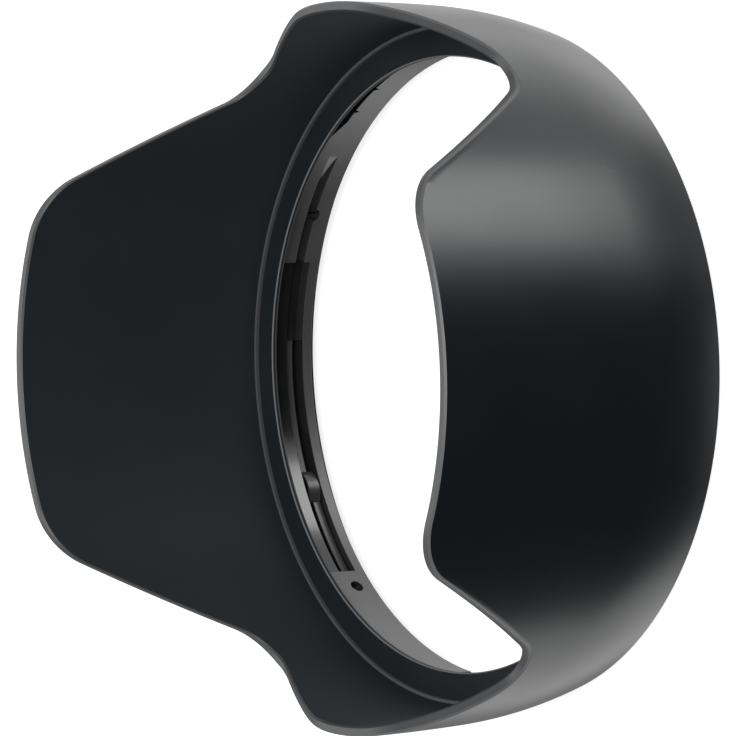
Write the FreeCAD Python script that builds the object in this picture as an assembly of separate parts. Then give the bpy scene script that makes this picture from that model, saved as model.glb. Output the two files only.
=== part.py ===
import FreeCAD, Part
import math
import os
from FreeCAD import Vector

# Petal lens hood, millimetres. +Z is the optical axis and points to the front, X runs through
# the two long petals, Y through the two short ones. The rear rim stands on z = 0.

# Shell, turned on the optical axis
HEIGHT = 49.4
REAR_RADIUS = 47.6
FRONT_RADIUS = 50.8
JOIN_RADIUS = 50.48
JOIN_Z = 15.0
HAUNCH_ARC = 60.0
FRONT_WALL = 1.45
INNER_JOIN_Z = 20.0
SEAT_RADIUS = 47.8
REAR_BEVEL = 0.35
RIM_BEVEL = 0.27

# Front outline, milled through from the side (long petals) and from above (short petals)
LONG_TIP_HALF = 24.9
LONG_ROOT_HALF = 38.9
LONG_TIP_ROUND = 9.0
LONG_ROOT_ROUND = 5.0
SHORT_HEIGHT = 28.9
SHORT_TIP_HALF = 8.5
SHORT_ROOT_HALF = 25.8
SHORT_TIP_ROUND = 20.0
SHORT_ROOT_ROUND = 9.0
VALLEY_HEIGHT = 21.3

# Dished light stop with a low outer flange, seated in front of the bayonet ring
STOP_RADIUS = 42.65
STOP_FRONT_Z = 10.45
STOP_OUTER_FRONT_Z = 9.25
STOP_THICKNESS = 0.65
STOP_LIP_BEVEL = 0.15
STOP_FLANGE_WIDTH = 0.45
STOP_FLANGE_Z = 9.7

# Bayonet ring
BORE_RADIUS = 44.45
BORE_REAR_Z = 1.68
BORE_FRONT_Z = 8.6
RING_RADIUS = 46.6
RING_SLIP = 0.05
RING_BEVEL = 0.25

# Bayonet track, milled into the ring's front face behind the light stop, with two index notches
TRACK_RADIUS = 45.5
TRACK_REAR_Z = 6.45
TRACK_START = 80.0
TRACK_END = 129.0
RUN_OUT_END = 136.0
ENTRY_END = 96.0
NOTCH_ANGLES = (118.5, 126.0)
NOTCH_WIDTH = 0.7
NOTCH_DEPTH = 0.9

# Detent pocket: a shallow step, a groove with a long run-in and a window for the leaf spring
STEP_RADIUS = 44.8
STEP_FRONT_Z = 8.1
GROOVE_RADIUS = 45.3
GROOVE_REAR_Z = 4.5
GROOVE_FRONT_Z = 6.05
RUN_IN_START = 138.0
RUN_IN_END = 150.0
POCKET_START = 161.0
POCKET_END = 222.6
POCKET_REAR_Z = 3.4
WINDOW_START = 176.0
UNDERCUT_RADIUS = 45.5
UNDERCUT_START = 172.0
UNDERCUT_END = 224.6

# Leaf spring that clicks the hood home: a long arm, a wider foot and a rounded nose
SPRING_START = 172.7
SPRING_END = 223.9
SPRING_RADIUS = 45.55
SPRING_THICKNESS = 0.3
ARM_REAR_Z = 4.55
ARM_FRONT_Z = 5.5
FOOT_START = 199.0
FOOT_REAR_Z = 3.6
FOOT_FRONT_Z = 4.75
NOSE_ANGLE = 203.5
NOSE_HALF_WIDTH = 2.4
NOSE_TIP_RADIUS = 44.6

# Radial slotted screws that hold the ring in the shell
SCREW_ANGLES = (46.4, 151.5, 226.4, 331.5)
SCREW_Z = 4.7
SCREW_RADIUS = 0.95
SCREW_START = 45.35
SCREW_END = 47.9
SCREW_SLOT_WIDTH = 0.35
SCREW_SLOT_DEPTH = 0.45
SCREW_CLEARANCE = 0.03

HALF_TURN = 180.0
FULL_TURN = 360.0
CUT_MARGIN = 5.0
BORE_MARGIN = 1.0
HEIGHT_TOLERANCE = 0.1


def polar(radius, degrees, z=0.0):
    angle = math.radians(degrees)
    return Vector(radius * math.cos(angle), radius * math.sin(angle), z)


def line(a, b):
    return Part.LineSegment(a, b).toShape()


def turned(edges, start=0.0, sweep=FULL_TURN):
    """Closed section in the XZ plane, turned about Z from one angle through a sweep."""
    face = Part.Face(Part.Wire(Part.sortEdges(edges)[0]))
    face.rotate(Vector(0, 0, 0), Vector(0, 0, 1), start)
    return face.revolve(Vector(0, 0, 0), Vector(0, 0, 1), sweep)


def turned_polygon(points, start=0.0, sweep=FULL_TURN):
    corners = [Vector(radius, 0, z) for radius, z in points]
    return turned(Part.makePolygon(corners + corners[:1]).Edges, start, sweep)


def turned_box(inner, outer, rear, front, start, end):
    return turned_polygon([(inner, rear), (outer, rear), (outer, front), (inner, front)], start, end - start)


def tangent_arc(corner, before, after, radius):
    """Points where a fillet meets the two lines at a corner, and its middle point."""
    back = (before - corner).normalize()
    ahead = (after - corner).normalize()
    half = back.getAngle(ahead) / 2
    reach = radius / math.tan(half)
    middle = (back + ahead).normalize()
    centre = corner + middle * (radius / math.sin(half))
    return corner + back * reach, centre - middle * radius, corner + ahead * reach


def outline_prism(tip_half, root_half, tip_z, tip_round, root_round):
    """Prism along Y under a flat tip that slopes down on both sides to the valleys."""
    far = FRONT_RADIUS + 2 * CUT_MARGIN
    floor = -CUT_MARGIN
    tip = Vector(tip_half, 0, tip_z)
    root = Vector(root_half, 0, VALLEY_HEIGHT)
    side = Vector(far, 0, VALLEY_HEIGHT)
    tip_arc = tangent_arc(tip, Vector(0, 0, tip_z), root, tip_round)
    root_arc = tangent_arc(root, tip, side, root_round)

    def left(point):
        return Vector(-point.x, 0, point.z)

    right_edges = [Part.Arc(*tip_arc).toShape(), line(tip_arc[2], root_arc[0]), Part.Arc(*root_arc).toShape(),
                   line(root_arc[2], side)]
    left_tip = [left(p) for p in tip_arc]
    left_root = [left(p) for p in root_arc]
    left_edges = [Part.Arc(*left_tip).toShape(), line(left_tip[2], left_root[0]),
                  Part.Arc(*left_root).toShape(), line(left_root[2], left(side))]
    closing = [line(left_tip[0], tip_arc[0]), line(side, Vector(far, 0, floor)),
               line(Vector(far, 0, floor), Vector(-far, 0, floor)), line(Vector(-far, 0, floor), left(side))]
    face = Part.Face(Part.Wire(Part.sortEdges(right_edges + left_edges + closing)[0]))
    face.translate(Vector(0, -far, 0))
    return face.extrude(Vector(0, 2 * far, 0))


def circle_through(start, normal, end):
    """Centre and radius of the circle through start, square to the normal there, and end."""
    chord = end - start
    radius = -chord.dot(chord) / (2 * chord.dot(normal))
    return start - normal * radius, radius


def circle_arc(circle, first_z, last_z):
    """Arc of a circle in the XZ plane, on its outer side, from one height to another."""
    heights = (first_z, (first_z + last_z) / 2, last_z)
    return Part.Arc(*[circle_point(circle, z) for z in heights]).toShape()


def circle_point(circle, z):
    centre, radius = circle
    return Vector(centre.x + math.sqrt(radius ** 2 - (z - centre.z) ** 2), 0, z)


def shell_blank():
    """Turned blank: a bulged wall with a rear socket for the ring and a seat for the light stop."""
    rear = Vector(REAR_RADIUS, 0, 0)
    join = Vector(JOIN_RADIUS, 0, JOIN_Z)
    half_chord = (join - rear) * 0.5
    square = Vector(-half_chord.z, 0, half_chord.x).normalize()
    haunch_centre = rear + half_chord + square * math.sqrt(HAUNCH_ARC ** 2 - half_chord.Length ** 2)
    haunch = (haunch_centre, HAUNCH_ARC)
    belly = circle_through(join, (join - haunch_centre).normalize(), Vector(FRONT_RADIUS, 0, HEIGHT))
    lining = (belly[0], belly[1] - FRONT_WALL)
    inner_join = circle_point(lining, INNER_JOIN_Z)
    seat_edge = Vector(SEAT_RADIUS, 0, STOP_FLANGE_Z)
    inner_haunch = circle_through(inner_join, (inner_join - belly[0]).normalize(), seat_edge)

    split = line(circle_point(belly, INNER_JOIN_Z), inner_join)
    front_rim = line(circle_point(belly, HEIGHT), circle_point(lining, HEIGHT))
    front_edges = [circle_arc(belly, INNER_JOIN_Z, HEIGHT), front_rim, circle_arc(lining, HEIGHT, INNER_JOIN_Z), split]
    socket = RING_RADIUS + RING_SLIP
    corners = [seat_edge, Vector(SEAT_RADIUS, 0, BORE_FRONT_Z), Vector(socket, 0, BORE_FRONT_Z),
               Vector(socket, 0, 0), Vector(REAR_RADIUS - REAR_BEVEL, 0, 0), circle_point(haunch, REAR_BEVEL)]
    rear_edges = [circle_arc(haunch, REAR_BEVEL, JOIN_Z), circle_arc(belly, JOIN_Z, INNER_JOIN_Z),
                  circle_arc(inner_haunch, INNER_JOIN_Z, STOP_FLANGE_Z), split]
    rear_edges += [line(a, b) for a, b in zip(corners, corners[1:])]
    return turned(rear_edges).fuse(turned(front_edges).toNurbs())


def rim_edges(shell):
    """Sharp edges of the milled front outline, where it leaves the turned walls."""
    walls = [f for f in shell.Faces if f.Surface.TypeId == "Part::GeomBSplineSurface"]
    front = [f for f in shell.Faces if f.BoundBox.ZMax > VALLEY_HEIGHT - HEIGHT_TOLERANCE]
    milled = [f for f in front if not any(f.isSame(wall) for wall in walls)]
    edges = []
    for face in milled:
        for edge in face.Edges:
            if any(edge.isSame(other) for wall in walls for other in wall.Edges):
                edges.append(edge)
    return edges


def petal_shell():
    short = outline_prism(SHORT_TIP_HALF, SHORT_ROOT_HALF, SHORT_HEIGHT, SHORT_TIP_ROUND, SHORT_ROOT_ROUND)
    long = outline_prism(LONG_TIP_HALF, LONG_ROOT_HALF, HEIGHT, LONG_TIP_ROUND, LONG_ROOT_ROUND)
    long.rotate(Vector(0, 0, 0), Vector(0, 0, 1), 90)
    shell = shell_blank().common(long.fuse(short)).removeSplitter().Solids[0]
    shell = shell.makeChamfer(RIM_BEVEL, rim_edges(shell))
    for screw in ring_screws(SCREW_CLEARANCE):
        shell = shell.cut(screw)
    return shell.Solids[0]


def light_stop():
    """Dished washer whose inner lip overhangs the bayonet bore, stiffened by a low outer flange."""
    outer = SEAT_RADIUS - RING_SLIP
    flange = outer - STOP_FLANGE_WIDTH
    return turned_polygon([
        (outer, BORE_FRONT_Z + RING_SLIP),
        (outer, STOP_FLANGE_Z),
        (flange, STOP_FLANGE_Z),
        (flange, STOP_OUTER_FRONT_Z),
        (STOP_RADIUS + STOP_LIP_BEVEL, STOP_FRONT_Z),
        (STOP_RADIUS, STOP_FRONT_Z - STOP_LIP_BEVEL),
        (STOP_RADIUS, STOP_FRONT_Z - STOP_THICKNESS),
        (flange, BORE_FRONT_Z + RING_SLIP),
    ])


def both_sides(shape):
    """The shape and its copy half a turn on, as the bayonet repeats."""
    copy = shape.copy()
    copy.rotate(Vector(0, 0, 0), Vector(0, 0, 1), HALF_TURN)
    return [shape, copy]


def radial_prism(points, outer, degrees):
    """Prism through the bore wall at an angle, from its outline in (sideways, z)."""
    inside = BORE_RADIUS - BORE_MARGIN
    corners = [Vector(inside, y, z) for y, z in points]
    prism = Part.Face(Part.makePolygon(corners + corners[:1])).extrude(Vector(outer - inside, 0, 0))
    prism.rotate(Vector(0, 0, 0), Vector(0, 0, 1), degrees)
    return prism


def track_cutters():
    """Entry slot, track, its sloping end and the index notches in its rear face."""
    inside = BORE_RADIUS - BORE_MARGIN
    front = BORE_FRONT_Z + BORE_MARGIN
    entry = turned_box(inside, TRACK_RADIUS, BORE_REAR_Z - BORE_MARGIN, front, TRACK_START, ENTRY_END)
    track = turned_box(inside, TRACK_RADIUS, TRACK_REAR_Z, front, TRACK_START, TRACK_END)
    run_out = BORE_RADIUS * math.radians(RUN_OUT_END - TRACK_END)
    end = radial_prism([(-BORE_MARGIN, TRACK_REAR_Z), (0, TRACK_REAR_Z), (run_out, BORE_FRONT_Z), (run_out, front),
                        (-BORE_MARGIN, front)], TRACK_RADIUS, TRACK_END)
    notch = [(-NOTCH_WIDTH / 2, TRACK_REAR_Z), (0, TRACK_REAR_Z - NOTCH_DEPTH), (NOTCH_WIDTH / 2, TRACK_REAR_Z)]
    notches = [radial_prism(notch, TRACK_RADIUS, angle) for angle in NOTCH_ANGLES]
    return [entry, track, end] + notches


def groove_run_in():
    """Start of the groove, which a round cutter deepens gradually to the full depth."""
    depth = GROOVE_RADIUS - BORE_RADIUS
    shallow = polar(BORE_RADIUS, RUN_IN_START)
    middle = polar(BORE_RADIUS + depth * 0.75, (RUN_IN_START + RUN_IN_END) / 2)
    deep = polar(GROOVE_RADIUS, RUN_IN_END)
    inner = polar(BORE_RADIUS - BORE_MARGIN, RUN_IN_END)
    edges = [Part.Arc(shallow, middle, deep).toShape(), line(deep, inner), line(inner, shallow)]
    face = Part.Face(Part.Wire(edges))
    face.translate(Vector(0, 0, GROOVE_REAR_Z))
    return face.extrude(Vector(0, 0, GROOVE_FRONT_Z - GROOVE_REAR_Z))


def pocket_cutters():
    """Shallow step, groove and spring window, with an undercut that holds the spring's ends."""
    inside = BORE_RADIUS - BORE_MARGIN
    through = RING_RADIUS + BORE_MARGIN
    step = turned_box(inside, STEP_RADIUS, POCKET_REAR_Z, STEP_FRONT_Z, POCKET_START, POCKET_END)
    groove = turned_box(inside, GROOVE_RADIUS, GROOVE_REAR_Z, GROOVE_FRONT_Z, RUN_IN_END, POCKET_END)
    recess = turned_box(inside, GROOVE_RADIUS, POCKET_REAR_Z, GROOVE_FRONT_Z, POCKET_START, POCKET_END)
    window = turned_box(inside, through, POCKET_REAR_Z, GROOVE_FRONT_Z, WINDOW_START, POCKET_END)
    undercut = turned_box(UNDERCUT_RADIUS, through, POCKET_REAR_Z, GROOVE_FRONT_Z, UNDERCUT_START, UNDERCUT_END)
    return [step, groove, groove_run_in(), recess, window, undercut]


def bayonet_ring():
    ring = turned_polygon([
        (BORE_RADIUS + RING_BEVEL, BORE_REAR_Z),
        (RING_RADIUS, BORE_REAR_Z),
        (RING_RADIUS, BORE_FRONT_Z),
        (BORE_RADIUS, BORE_FRONT_Z),
        (BORE_RADIUS, BORE_REAR_Z + RING_BEVEL),
    ])
    cutters = [copy for cutter in track_cutters() + pocket_cutters() for copy in both_sides(cutter)]
    return ring.cut(cutters + ring_screws(SCREW_CLEARANCE)).Solids[0]


def detent_spring():
    """Leaf bent round the ring, its ends behind the window's edges, with a rounded nose for the click."""
    outer = SPRING_RADIUS + SPRING_THICKNESS
    half_nose = math.degrees(NOSE_HALF_WIDTH / SPRING_RADIUS)
    nose_start = NOSE_ANGLE - half_nose
    nose_end = NOSE_ANGLE + half_nose
    arm = turned_box(SPRING_RADIUS, outer, ARM_REAR_Z, ARM_FRONT_Z, SPRING_START, nose_start)
    foot = turned_box(SPRING_RADIUS, outer, FOOT_REAR_Z, FOOT_FRONT_Z, nose_end, SPRING_END)
    inner_bow = Part.Arc(polar(SPRING_RADIUS, nose_start), polar(NOSE_TIP_RADIUS, NOSE_ANGLE),
                         polar(SPRING_RADIUS, nose_end))
    outer_bow = Part.Arc(polar(outer, nose_end), polar(NOSE_TIP_RADIUS + SPRING_THICKNESS, NOSE_ANGLE),
                         polar(outer, nose_start))
    ends = [line(polar(SPRING_RADIUS, nose_end), polar(outer, nose_end)),
            line(polar(outer, nose_start), polar(SPRING_RADIUS, nose_start))]
    nose = Part.Face(Part.Wire(Part.sortEdges([inner_bow.toShape(), outer_bow.toShape()] + ends)[0]))
    nose.translate(Vector(0, 0, FOOT_REAR_Z))
    nose = nose.extrude(Vector(0, 0, ARM_FRONT_Z - FOOT_REAR_Z))
    return arm.fuse([nose, foot]).removeSplitter().Solids[0]


def ring_screws(grow=0.0):
    """Headless radial screws; grown by a clearance they are the holes."""
    screws = []
    for angle in SCREW_ANGLES:
        outward = polar(1, angle)
        start = SCREW_START if grow == 0 else BORE_RADIUS - BORE_MARGIN
        screw = Part.makeCylinder(SCREW_RADIUS + grow, SCREW_END + grow - start, polar(start, angle, SCREW_Z), outward)
        if grow == 0:
            slot = Part.makeBox(2 * SCREW_SLOT_DEPTH, SCREW_SLOT_WIDTH, 4 * SCREW_RADIUS,
                                Vector(SCREW_START - SCREW_SLOT_DEPTH, -SCREW_SLOT_WIDTH / 2,
                                       SCREW_Z - 2 * SCREW_RADIUS))
            slot.rotate(Vector(0, 0, 0), Vector(0, 0, 1), angle)
            screw = screw.cut(slot).Solids[0]
        screws.append(screw)
    return screws


def export(name, shape):
    shape.exportStep("parts/" + name + ".step")
    print(name, shape.ShapeType, len(shape.Solids), shape.isValid(), round(shape.Volume, 2))


os.makedirs("parts", exist_ok=True)
export("petal_shell", petal_shell())
export("light_stop", light_stop())
export("bayonet_ring", bayonet_ring())
for number, spring in enumerate(both_sides(detent_spring()), 1):
    export("detent_spring_" + str(number), spring)
for number, screw in enumerate(ring_screws(), 1):
    export("ring_screw_" + str(number), screw)
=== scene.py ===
import math

import bpy
from mathutils import Matrix, Vector

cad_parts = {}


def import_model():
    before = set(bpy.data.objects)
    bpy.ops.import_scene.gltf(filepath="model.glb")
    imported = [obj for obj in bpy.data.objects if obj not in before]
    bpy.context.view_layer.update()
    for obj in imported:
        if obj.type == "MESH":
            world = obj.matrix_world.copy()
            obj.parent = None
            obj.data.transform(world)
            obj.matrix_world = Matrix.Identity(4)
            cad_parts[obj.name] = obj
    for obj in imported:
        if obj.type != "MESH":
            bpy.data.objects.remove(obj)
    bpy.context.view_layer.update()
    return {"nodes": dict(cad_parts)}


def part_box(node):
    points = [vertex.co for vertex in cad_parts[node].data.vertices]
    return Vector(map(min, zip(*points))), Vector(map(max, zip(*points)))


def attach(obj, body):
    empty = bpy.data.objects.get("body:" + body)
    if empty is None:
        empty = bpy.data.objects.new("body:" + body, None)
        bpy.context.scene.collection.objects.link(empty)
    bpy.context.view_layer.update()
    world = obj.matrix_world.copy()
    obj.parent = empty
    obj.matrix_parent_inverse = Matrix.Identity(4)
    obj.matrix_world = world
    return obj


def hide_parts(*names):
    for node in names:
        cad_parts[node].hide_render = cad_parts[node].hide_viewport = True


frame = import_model()

# Petal lens hood, in metres. +Z is the optical axis.
# X runs through the long petals and Y through the short ones.

# Turned wall of the shell
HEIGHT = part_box("petal_shell")[1].z
REAR_RADIUS = 0.0476
FRONT_RADIUS = 0.0508
JOIN_RADIUS = 0.05048
JOIN_Z = 0.015
HAUNCH_ARC = 0.060
FRONT_WALL = 0.00145
INNER_JOIN_Z = 0.020
SEAT_RADIUS = 0.0478
SEAT_Z = 0.0097
SOCKET_RADIUS = 0.04665
SOCKET_Z = 0.0086
RIM_BEVEL = 0.00027
REAR_BEVEL = 0.00035

# Milled outline of the petals
LONG_PETAL = {"tip_half": 0.0249, "root_half": 0.0389, "tip_z": HEIGHT,
              "tip_round": 0.009, "root_round": 0.005}
SHORT_PETAL = {"tip_half": 0.0085, "root_half": 0.0258, "tip_z": 0.0289,
               "tip_round": 0.020, "root_round": 0.009}
VALLEY_Z = 0.0213

# Light stop and ring
STOP_OUTER_RADIUS = 0.04775
STOP_FLANGE_INNER = 0.0473
STOP_FLANGE_Z = 0.0097
STOP_LIP_RADIUS = 0.0432
STOP_LIP_TOP_Z = 0.00975
STOP_LIP_BOTTOM_Z = 0.0091
STOP_LIP_BEVEL = 0.00015
STOP_OUTER_FRONT_Z = 0.00925
STOP_REAR_Z = 0.00865
BORE_RADIUS = 0.04445

# Mesh density
COLUMNS = 720
LOW_ROWS = 14
LOW_TOP_Z = 0.0185
HIGH_ROWS = 16
INSIDE_ROWS = 24
MEET_TRIES = 12
LEAN_STEP = math.radians(0.2)
SHELL_CREASE = 35.0
STOP_CREASE = 12.0
FAVOUR_LARGE_FACES = 100

# Camera, fitted to the photograph, angles in degrees
CAMERA_DISTANCE = 1.06353
CAMERA_TARGET = Vector((0, 0.00004, 0.0245))
CAMERA_AZIMUTH = 1.71
CAMERA_ELEVATION = 36.44
CAMERA_ROLL = math.radians(-2.314)
CAMERA_SENSOR_MM = 36.0
CAMERA_LENS_MM = 374.1
CLIP_START = 0.01
CLIP_END = 20.0

# Studio
WORLD_LEVEL = 0.5
FLOOR_GLOW = 0.82
FLOOR_ALBEDO = 0.5
FLOOR_HALF = 3.0
CARD_DISTANCE = 0.8
CARD_STEPS = 8

# Patterns in the finishes: noise scales per metre, bump heights in metres
CLOUD_SCALE = 60.0
RING_CLOUD_SCALE = 220.0
CLOUD_DETAIL = 4.0
CLOUD_LOW = 0.3
CLOUD_HIGH = 0.7
GRAIN_SCALE = 2600.0
GRAIN_DETAIL = 2.0
GRAIN_HEIGHT = 0.000004
INSIDE_GRAIN_HEIGHT = 0.00001
LATHE_SCALE = 900.0
LATHE_ROUGHNESS = 0.5
LATHE_STRETCH = (0.02, 0.02, 4.0)
LATHE_HEIGHT = 0.000003
GLOSS_SPREAD = 0.02
COOL_TINT = 1.02

# Finish of the ring: bore against recesses, which start this far outside the bore; the recesses are painted
# darker than the bore, as painted shade
RECESS_EDGE = (0.00005, 0.00015)
BORE_GREY = 0.072
BORE_SPREAD = (0.85, 1.1)
BORE_ROUGHNESS = 0.4
RECESS_GREY = 0.018
RECESS_SPREAD = (0.8, 1.2)
RECESS_ROUGHNESS = 0.17
RING_SPECULAR = 0.75

# Finish of the stop, with painted highlights on its lip edges and flange top
STOP_DARK = (0.014, 0.017, 0.020)
STOP_LIGHT = (0.018, 0.021, 0.024)
STOP_ROUGHNESS = 0.52
STOP_SPECULAR = 0.06
HIGHLIGHT_GREY = 0.16
HIGHLIGHT_BLUR = 0.00002
LIP_HIGHLIGHT_DEPTH = 0.0002
LOW_EDGE_HIGHLIGHT = 0.5
LOW_EDGE_FADE = (0.0001, 0.0002)
FLANGE_HIGHLIGHT = 0.5


def arc_through(start, end, radius):
    """Centre of the arc from start to end that bulges away from the axis; points are (radius, z)."""
    half = (end - start) * 0.5
    inward = Vector((-half.y, half.x)).normalized()
    return start + half + inward * math.sqrt(radius ** 2 - half.length_squared)


def tangent_centre(start, normal, end):
    """Centre and radius of the arc from start, square to the normal there, to end."""
    chord = end - start
    radius = -chord.length_squared / (2 * chord.dot(normal))
    return start - normal * radius, radius


def circle_radius(centre, radius, z):
    """Distance from the axis to a circle of the section at height z."""
    return centre.x + math.sqrt(radius ** 2 - (z - centre.y) ** 2)


def wall_section():
    """Outer and inner radius of the turned wall as functions of height."""
    join = Vector((JOIN_RADIUS, JOIN_Z))
    haunch_centre = arc_through(Vector((REAR_RADIUS, 0)), join, HAUNCH_ARC)
    normal = (join - haunch_centre).normalized()
    belly_centre, belly_arc = tangent_centre(join, normal, Vector((FRONT_RADIUS, HEIGHT)))
    inner_arc = belly_arc - FRONT_WALL
    inner_join = Vector((circle_radius(belly_centre, inner_arc, INNER_JOIN_Z), INNER_JOIN_Z))
    inner_normal = (inner_join - belly_centre).normalized()
    foot_centre, foot_arc = tangent_centre(inner_join, inner_normal, Vector((SEAT_RADIUS, SEAT_Z)))

    def outer(z):
        if z < JOIN_Z:
            return circle_radius(haunch_centre, HAUNCH_ARC, z)
        return circle_radius(belly_centre, belly_arc, z)

    def inner(z):
        if z < INNER_JOIN_Z:
            return circle_radius(foot_centre, foot_arc, z)
        return circle_radius(belly_centre, inner_arc, z)

    return outer, inner


def outline(tip_half, root_half, tip_z, tip_round, root_round):
    """Height of one pair of petals over the distance from its centre plane."""
    turn = math.atan2(tip_z - VALLEY_Z, root_half - tip_half)
    tip_reach = tip_round * math.tan(turn / 2)
    root_reach = root_round * math.tan(turn / 2)

    def height(across):
        s = abs(across)
        if s <= tip_half - tip_reach:
            return tip_z
        if s < tip_half + tip_reach * math.cos(turn):
            return tip_z - tip_round + math.sqrt(tip_round ** 2 - (s - tip_half + tip_reach) ** 2)
        if s <= root_half - root_reach * math.cos(turn):
            return tip_z - (s - tip_half) * math.tan(turn)
        if s < root_half + root_reach:
            sink = root_half + root_reach - s
            return VALLEY_Z + root_round - math.sqrt(root_round ** 2 - sink ** 2)
        return VALLEY_Z

    return height


def rim_height():
    """Height of the milled rim at a place (x, y)."""
    long_petals, short_petals = outline(**LONG_PETAL), outline(**SHORT_PETAL)
    return lambda x, y: max(long_petals(y), short_petals(x))


def column_stretches(angle, outer, inner, rim):
    """Section of the shell at one angle, in stretches of (radius, z).

    They run up the outside, over the bevelled rim, down the inside and back through the ring's socket.
    """
    cosine, sine = math.cos(angle), math.sin(angle)

    def meet(wall):
        """Height at which the wall meets the milled rim."""
        z = HEIGHT
        for _ in range(MEET_TRIES):
            z = rim(wall(z) * cosine, wall(z) * sine)
        return z

    def lean(wall, z):
        """Slope of the rim along the wall."""
        radius = wall(z)
        after, before = (rim(radius * math.cos(angle + d), radius * math.sin(angle + d))
                         for d in (LEAN_STEP, -LEAN_STEP))
        return (after - before) / (2 * LEAN_STEP * radius)

    def bevel_foot(wall, top):
        z = top - RIM_BEVEL * math.hypot(1, lean(wall, top))
        return Vector((wall(z), z))

    def on_rim(radius):
        return Vector((radius, rim(radius * cosine, radius * sine)))

    outer_top, inner_top = meet(outer), meet(inner)
    outer_foot, inner_foot = bevel_foot(outer, outer_top), bevel_foot(inner, inner_top)
    low = [REAR_BEVEL + (LOW_TOP_Z - REAR_BEVEL) * k / LOW_ROWS for k in range(LOW_ROWS)]
    high = [LOW_TOP_Z + (outer_foot.y - LOW_TOP_Z) * k / HIGH_ROWS for k in range(HIGH_ROWS)]
    down = [inner_foot.y + (SEAT_Z - inner_foot.y) * k / INSIDE_ROWS for k in range(1, INSIDE_ROWS + 1)]
    outside = [Vector((outer(z), z)) for z in low + high]
    flat = [on_rim(outer(outer_top) - RIM_BEVEL), on_rim(inner(inner_top) + RIM_BEVEL)]
    inside = [inner_foot] + [Vector((inner(z), z)) for z in down]
    socket = [Vector((SEAT_RADIUS, SOCKET_Z)), Vector((SOCKET_RADIUS, SOCKET_Z)), Vector((SOCKET_RADIUS, 0))]
    rear = [Vector((outer(0) - REAR_BEVEL, 0))]
    return [outside, [outer_foot], flat, inside + socket, rear]


def mesh_object(name, verts, faces):
    mesh = bpy.data.meshes.new(name)
    mesh.from_pydata(verts, [], faces)
    piece = bpy.data.objects.new(name, mesh)
    bpy.context.scene.collection.objects.link(piece)
    return piece


def turned_mesh(name, profiles, bands, materials):
    """Closed mesh whose columns are profiles of (radius, z); bands give each row's material."""
    columns, rows = len(profiles), len(profiles[0])
    verts = []
    for k, profile in enumerate(profiles):
        angle = 2 * math.pi * k / columns
        verts += [(p.x * math.cos(angle), p.x * math.sin(angle), p.y) for p in profile]
    faces = []
    for k in range(columns):
        here, there = k * rows, (k + 1) % columns * rows
        for row in range(rows):
            up = (row + 1) % rows
            faces.append((here + row, there + row, there + up, here + up))
    piece = mesh_object(name, verts, faces)
    for material in materials:
        piece.data.materials.append(material)
    piece.data.polygons.foreach_set("material_index", bands * columns)
    piece.data.polygons.foreach_set("use_smooth", [True] * len(faces))
    piece.data.update()
    return piece


def keep_edges_crisp(piece, angle):
    """Shades flat faces flat beside round ones, with creases at corners sharper than the angle."""
    piece.data.set_sharp_from_angle(angle=math.radians(angle))
    weighted = piece.modifiers.new("weighted_normals", "WEIGHTED_NORMAL")
    weighted.keep_sharp = True
    weighted.weight = FAVOUR_LARGE_FACES


def petal_shell():
    outer, inner = wall_section()
    rim = rim_height()
    columns = [column_stretches(2 * math.pi * k / COLUMNS, outer, inner, rim) for k in range(COLUMNS)]
    profiles = [[point for stretch in column for point in stretch] for column in columns]
    finishes = (SATIN_OUTSIDE, FRONT_RIM, MATT_INSIDE, PAINTED_BEVEL_HIGHLIGHT)
    stretch_finishes = (SATIN_OUTSIDE, PAINTED_BEVEL_HIGHLIGHT, FRONT_RIM, MATT_INSIDE, SATIN_OUTSIDE)
    bands = []
    for stretch, finish in zip(columns[0], stretch_finishes):
        bands += [finishes.index(finish)] * len(stretch)
    piece = turned_mesh("petal_shell_turned", profiles, bands, finishes)
    keep_edges_crisp(piece, SHELL_CREASE)
    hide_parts("petal_shell")
    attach(piece, "hood")


def light_stop():
    """Dished washer with a bevelled lip and a low outer flange."""
    points = (
        (STOP_OUTER_RADIUS, STOP_REAR_Z),
        (STOP_OUTER_RADIUS, STOP_FLANGE_Z),
        (STOP_FLANGE_INNER, STOP_FLANGE_Z),
        (STOP_FLANGE_INNER, STOP_OUTER_FRONT_Z),
        (STOP_LIP_RADIUS + STOP_LIP_BEVEL, STOP_LIP_TOP_Z),
        (STOP_LIP_RADIUS, STOP_LIP_TOP_Z - STOP_LIP_BEVEL),
        (STOP_LIP_RADIUS, STOP_LIP_BOTTOM_Z),
        (STOP_FLANGE_INNER, STOP_REAR_Z),
    )
    profile = [Vector(point) for point in points]
    piece = turned_mesh("light_stop_turned", [profile] * COLUMNS, [0] * len(profile), [MATT_STOP])
    keep_edges_crisp(piece, STOP_CREASE)
    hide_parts("light_stop")
    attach(piece, "hood")


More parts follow.
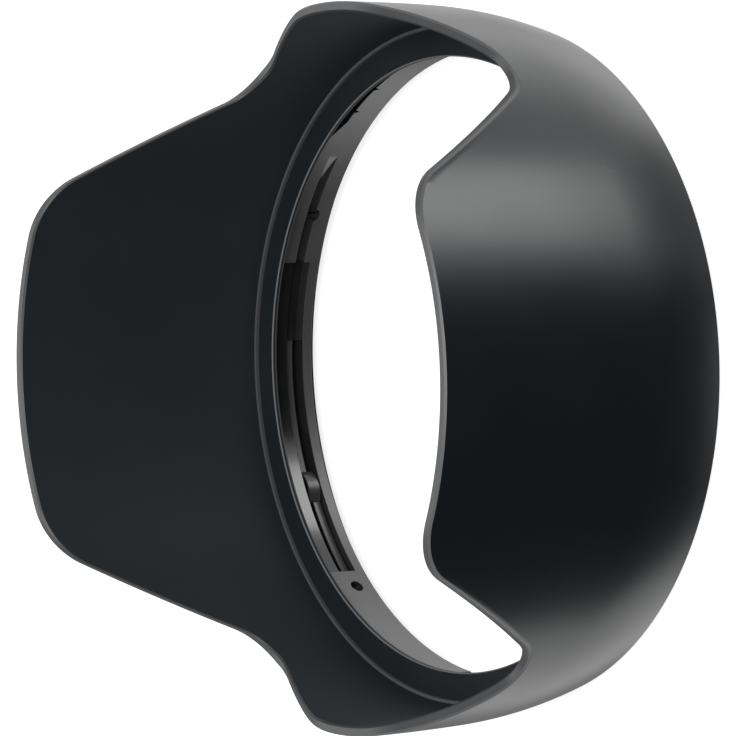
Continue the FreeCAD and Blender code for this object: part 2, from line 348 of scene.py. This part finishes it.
class Shader:
    """A node material built step by step around one Principled shader."""

    def __init__(self, name):
        self.material = bpy.data.materials.new(name)
        self.material.use_nodes = True
        self.tree = self.material.node_tree
        self.principled = self.tree.nodes["Principled BSDF"]
        self.place = self.tree.nodes.new("ShaderNodeTexCoord").outputs["Object"]

    def node(self, kind):
        return self.tree.nodes.new("ShaderNode" + kind)

    def join(self, output, socket):
        self.tree.links.new(output, socket)

    def plug(self, name, output):
        self.join(output, self.principled.inputs[name])

    def specular(self, level):
        self.principled.inputs["Specular IOR Level"].default_value = level

    def noise(self, scale, detail, roughness=0.55, stretch=(1, 1, 1)):
        mapping, noise = self.node("Mapping"), self.node("TexNoise")
        mapping.inputs["Scale"].default_value = stretch
        self.join(self.place, mapping.inputs["Vector"])
        noise.inputs["Scale"].default_value = scale
        noise.inputs["Detail"].default_value = detail
        noise.inputs["Roughness"].default_value = roughness
        self.join(mapping.outputs["Vector"], noise.inputs["Vector"])
        return noise.outputs["Fac"]

    def between(self, factor, low, high, start=CLOUD_LOW, end=CLOUD_HIGH):
        """A value that goes from low to high as the factor goes from start to end."""
        ranged = self.node("MapRange")
        for name, value in (("From Min", start), ("From Max", end), ("To Min", low), ("To Max", high)):
            ranged.inputs[name].default_value = value
        self.join(factor, ranged.inputs["Value"])
        return ranged.outputs["Result"]

    def blend(self, clouds, first, second):
        """Colour that drifts from first to second with the clouds."""
        ramp = self.node("ValToRGB")
        stops = ((CLOUD_LOW, first), (CLOUD_HIGH, second))
        for element, (position, colour) in zip(ramp.color_ramp.elements, stops):
            element.position = position
            element.color = (*colour, 1)
        self.join(clouds, ramp.inputs["Fac"])
        return ramp.outputs["Color"]

    def math(self, operation, first, second):
        node = self.node("Math")
        node.operation = operation
        self.join(first, node.inputs[0])
        self.join(second, node.inputs[1])
        return node.outputs["Value"]

    def height(self):
        separate = self.node("SeparateXYZ")
        self.join(self.place, separate.inputs["Vector"])
        return separate.outputs["Z"]

    def from_axis(self):
        """Distance from the optical axis."""
        flat, length = self.node("VectorMath"), self.node("VectorMath")
        flat.operation = "MULTIPLY"
        flat.inputs[1].default_value = (1, 1, 0)
        self.join(self.place, flat.inputs[0])
        length.operation = "LENGTH"
        self.join(flat.outputs["Vector"], length.inputs[0])
        return length.outputs["Value"]

    def mix(self, factor, first, second):
        """Colour that goes from first to second, each an output or a plain colour."""
        node = self.node("Mix")
        node.data_type = "RGBA"
        self.join(factor, node.inputs["Factor"])
        for socket, colour in ((node.inputs[6], first), (node.inputs[7], second)):
            if isinstance(colour, tuple):
                socket.default_value = (*colour, 1)
            else:
                self.join(colour, socket)
        return node.outputs[2]

    def bump(self, height, distance):
        bump = self.node("Bump")
        bump.inputs["Distance"].default_value = distance
        self.join(height, bump.inputs["Height"])
        self.plug("Normal", bump.outputs["Normal"])


def grey(level, share=1.0):
    """Faintly cool grey, at a share of the level."""
    return (level * share, level * share, level * share * COOL_TINT)


def anodised(name, dark, light, roughness, specular, grain_height=GRAIN_HEIGHT):
    """Bead-blasted and black anodised aluminium: fine grain, faint clouds in colour and gloss."""
    shader = Shader(name)
    clouds = shader.noise(CLOUD_SCALE, CLOUD_DETAIL)
    shader.plug("Base Color", shader.blend(clouds, dark, light))
    shader.plug("Roughness", shader.between(clouds, roughness - GLOSS_SPREAD, roughness + GLOSS_SPREAD))
    shader.bump(shader.noise(GRAIN_SCALE, GRAIN_DETAIL), grain_height)
    shader.specular(specular)
    return shader.material


def bayonet_finish():
    """Black ring with glossy recesses painted darker as painted shade, and a lighter bore with fine lathe
    lines.
    """
    shader = Shader("bayonet_finish")
    clouds = shader.noise(RING_CLOUD_SCALE, CLOUD_DETAIL)
    lines = shader.noise(LATHE_SCALE, GRAIN_DETAIL, LATHE_ROUGHNESS, LATHE_STRETCH)
    edge_start, edge_end = (BORE_RADIUS + depth for depth in RECESS_EDGE)
    bored = shader.between(shader.from_axis(), 1.0, 0.0, edge_start, edge_end)
    # Painted shade: the recesses get a darker grey than the bore
    recess = shader.blend(clouds, *(grey(RECESS_GREY, share) for share in RECESS_SPREAD))
    bore = shader.blend(clouds, *(grey(BORE_GREY, share) for share in BORE_SPREAD))
    shader.plug("Base Color", shader.mix(bored, recess, bore))
    shader.plug("Roughness", shader.between(bored, RECESS_ROUGHNESS, BORE_ROUGHNESS, 0.0, 1.0))
    shader.bump(lines, LATHE_HEIGHT)
    shader.specular(RING_SPECULAR)
    return shader.material


def stop_finish():
    """Matt black stop whose lip edges and flange top are painted lighter, as painted highlights."""
    shader = Shader("stop_finish")
    clouds = shader.noise(CLOUD_SCALE, CLOUD_DETAIL)
    body = shader.blend(clouds, STOP_DARK, STOP_LIGHT)
    height = shader.height()
    bevel_foot = STOP_LIP_TOP_Z - STOP_LIP_BEVEL
    fade_start, fade_end = (STOP_LIP_BOTTOM_Z + rise for rise in LOW_EDGE_FADE)
    smooth, rough = STOP_ROUGHNESS - GLOSS_SPREAD, STOP_ROUGHNESS + GLOSS_SPREAD
    # Painted highlights: a lighter grey on the lip's top and bottom edges and on the flange top
    near_lip = shader.between(shader.from_axis(), 1.0, 0.0,
                              STOP_LIP_RADIUS + STOP_LIP_BEVEL, STOP_LIP_RADIUS + LIP_HIGHLIGHT_DEPTH)
    high = shader.between(height, 0.0, 1.0, bevel_foot - HIGHLIGHT_BLUR, bevel_foot + HIGHLIGHT_BLUR)
    low = shader.between(height, LOW_EDGE_HIGHLIGHT, 0.0, fade_start, fade_end)
    lip = shader.math("MULTIPLY", near_lip, shader.math("MAXIMUM", high, low))
    flange = shader.between(shader.from_axis(), 0.0, FLANGE_HIGHLIGHT,
                            STOP_FLANGE_INNER - HIGHLIGHT_BLUR, STOP_FLANGE_INNER)
    painted_highlight = shader.math("MAXIMUM", lip, flange)
    shader.plug("Base Color", shader.mix(painted_highlight, body, grey(HIGHLIGHT_GREY)))
    shader.plug("Roughness", shader.between(clouds, smooth, rough))
    shader.bump(shader.noise(GRAIN_SCALE, GRAIN_DETAIL), GRAIN_HEIGHT)
    shader.specular(STOP_SPECULAR)
    return shader.material


def paint(node, material):
    """Gives a CAD node that has one finish all over that finish."""
    materials = frame["nodes"][node].data.materials
    materials.clear()
    materials.append(material)


def direction(azimuth, elevation):
    """Unit vector, angles in degrees."""
    a, e = math.radians(azimuth), math.radians(elevation)
    return Vector((math.cos(a) * math.cos(e), math.sin(a) * math.cos(e), math.sin(e)))


def on_sky(azimuth, elevation, distance):
    """Place in that direction from the middle of the hood."""
    return CAMERA_TARGET + direction(azimuth, elevation) * distance


def camera():
    cam = bpy.data.objects.new("camera", bpy.data.cameras.new("camera"))
    bpy.context.scene.collection.objects.link(cam)
    back = direction(CAMERA_AZIMUTH, CAMERA_ELEVATION)
    axis_side = -(Vector((0, 0, 1)) - back * back.z).normalized()
    upright = axis_side.cross(-back)
    right = axis_side * math.cos(CAMERA_ROLL) + upright * math.sin(CAMERA_ROLL)
    up = upright * math.cos(CAMERA_ROLL) - axis_side * math.sin(CAMERA_ROLL)
    turn = Matrix((right, up, back)).transposed().to_4x4()
    cam.matrix_world = Matrix.Translation(CAMERA_TARGET + back * CAMERA_DISTANCE) @ turn
    cam.data.sensor_width = CAMERA_SENSOR_MM
    cam.data.lens = CAMERA_LENS_MM
    cam.data.clip_start = CLIP_START
    cam.data.clip_end = CLIP_END
    bpy.context.scene.camera = cam


def seen_directly(tree):
    """1 for rays from the camera, from gloss and through glass, 0 for the rest."""
    path = tree.nodes.new("ShaderNodeLightPath")
    total = path.outputs["Is Camera Ray"]
    for name in ("Is Glossy Ray", "Is Transmission Ray"):
        most = tree.nodes.new("ShaderNodeMath")
        most.operation = "MAXIMUM"
        tree.links.new(total, most.inputs[0])
        tree.links.new(path.outputs[name], most.inputs[1])
        total = most.outputs["Value"]
    return total


def world():
    """White where it is seen, a plain level of light for the rest."""
    made = bpy.data.worlds.new("studio")
    bpy.context.scene.world = made
    made.use_nodes = True
    tree = made.node_tree
    background = tree.nodes["Background"]
    background.inputs["Color"].default_value = (1, 1, 1, 1)
    strength = tree.nodes.new("ShaderNodeMapRange")
    strength.inputs["To Min"].default_value = WORLD_LEVEL
    strength.inputs["To Max"].default_value = 1.0
    tree.links.new(seen_directly(tree), strength.inputs["Value"])
    tree.links.new(strength.outputs["Result"], background.inputs["Strength"])


def glowing(name, base, glow=0.0):
    """Flat material with a white glow, and its Principled shader."""
    material = bpy.data.materials.new(name)
    material.use_nodes = True
    principled = material.node_tree.nodes["Principled BSDF"]
    principled.inputs["Base Color"].default_value = (base, base, base, 1)
    principled.inputs["Specular IOR Level"].default_value = 0.0
    principled.inputs["Emission Color"].default_value = (1, 1, 1, 1)
    principled.inputs["Emission Strength"].default_value = glow
    return material, principled


def floor():
    """Pale floor that glows where it is seen, so that it fades into the white around it."""
    half = FLOOR_HALF
    piece = mesh_object("floor", [(-half, -half, 0), (half, -half, 0), (half, half, 0), (-half, half, 0)],
                        [(0, 1, 2, 3)])
    material, principled = glowing("pale_floor", FLOOR_ALBEDO)
    principled.inputs["Roughness"].default_value = 1.0
    tree = material.node_tree
    glow = tree.nodes.new("ShaderNodeMath")
    glow.operation = "MULTIPLY"
    glow.inputs[1].default_value = FLOOR_GLOW
    tree.links.new(seen_directly(tree), glow.inputs[0])
    tree.links.new(glow.outputs["Value"], principled.inputs["Emission Strength"])
    piece.data.materials.append(material)
    piece.visible_shadow = False
    piece.visible_glossy = False


def card(name, azimuths, elevations, level=0.0):
    """Curved card that only gloss sees: a black one keeps a black object black, a grey one glows faintly and
    shows on the object as a dim reflection.
    """
    (a0, a1), (e0, e1) = azimuths, elevations
    grid = range(CARD_STEPS + 1)
    verts = [on_sky(a0 + (a1 - a0) * i / CARD_STEPS, e0 + (e1 - e0) * j / CARD_STEPS, CARD_DISTANCE)
             for i in grid for j in grid]
    row = CARD_STEPS + 1
    faces = [(i * row + j, (i + 1) * row + j, (i + 1) * row + j + 1, i * row + j + 1)
             for i in range(CARD_STEPS) for j in range(CARD_STEPS)]
    piece = mesh_object(name, verts, faces)
    material, _ = glowing(name, 0.0, level)
    piece.data.materials.append(material)
    piece.visible_camera = False
    piece.visible_diffuse = False
    piece.visible_shadow = False
    piece.visible_transmission = False


def lamp(name, azimuth, elevation, distance, size, power, gloss_only=False):
    """Soft lamp aimed at the middle of the hood."""
    data = bpy.data.lights.new(name, "AREA")
    data.shape = "RECTANGLE"
    data.size, data.size_y = size
    data.energy = power
    light = bpy.data.objects.new(name, data)
    bpy.context.scene.collection.objects.link(light)
    light.location = on_sky(azimuth, elevation, distance)
    light.rotation_mode = "QUATERNION"
    light.rotation_quaternion = (CAMERA_TARGET - light.location).to_track_quat("-Z", "Y")
    light.visible_camera = False
    light.visible_diffuse = not gloss_only


SATIN_OUTSIDE = anodised("satin_outside", dark=(0.0072, 0.0090, 0.0113), light=(0.0085, 0.0107, 0.0131),
                         roughness=0.29, specular=0.46)
# The flat front rim and its inner bevel are painted lighter than the outside
FRONT_RIM = anodised("front_rim", dark=(0.028, 0.029, 0.031), light=(0.034, 0.035, 0.037),
                      roughness=0.42, specular=0.42)
# The outer bevel of the rim is painted lighter than the rim, as a painted highlight along its edge
PAINTED_BEVEL_HIGHLIGHT = anodised("bevel_painted_highlight", dark=(0.072, 0.073, 0.077), light=(0.084, 0.085, 0.089),
                        roughness=0.42, specular=0.5)
MATT_INSIDE = anodised("matt_inside", dark=(0.0185, 0.023, 0.0275), light=(0.022, 0.027, 0.0315),
                       roughness=0.52, specular=0.06, grain_height=INSIDE_GRAIN_HEIGHT)
SPRING_STEEL = anodised("spring_steel", dark=(0.04, 0.04, 0.04), light=(0.08, 0.08, 0.08),
                        roughness=0.3, specular=0.5)
BLACK_SCREW = anodised("black_screw", dark=(0.02, 0.02, 0.02), light=(0.03, 0.03, 0.03),
                       roughness=0.4, specular=0.5)
MATT_STOP = stop_finish()
GLOSSY_RING = bayonet_finish()

petal_shell()
light_stop()
paint("bayonet_ring", GLOSSY_RING)
for number in (1, 2):
    paint(f"detent_spring_{number}", SPRING_STEEL)
for number in (1, 2, 3, 4):
    paint(f"ring_screw_{number}", BLACK_SCREW)

camera()
world()
floor()
card("black_card", azimuths=(-88, 28), elevations=(-70, 0))
card("low_black_card", azimuths=(28, 37), elevations=(-80, -50))
card("grey_card", azimuths=(37, 100), elevations=(-80, -52), level=0.4)
card("grey_card_left", azimuths=(-185, -143), elevations=(-80, 5), level=0.25)
lamp("key_above", 15, 60, distance=0.9, size=(0.5, 0.5), power=5.0)
lamp("panel_highlight", 50, -28, distance=0.7, size=(0.27, 0.34), power=1.4, gloss_only=True)
lamp("panel_right", 114, -40, distance=0.7, size=(0.40, 0.45), power=0.35, gloss_only=True)
lamp("panel_left", -112, -40, distance=0.7, size=(0.45, 0.45), power=0.25, gloss_only=True)
lamp("panel_back", 180, 36, distance=0.9, size=(0.5, 0.4), power=1.4)

scene = bpy.context.scene
scene.view_settings.view_transform = "Standard"
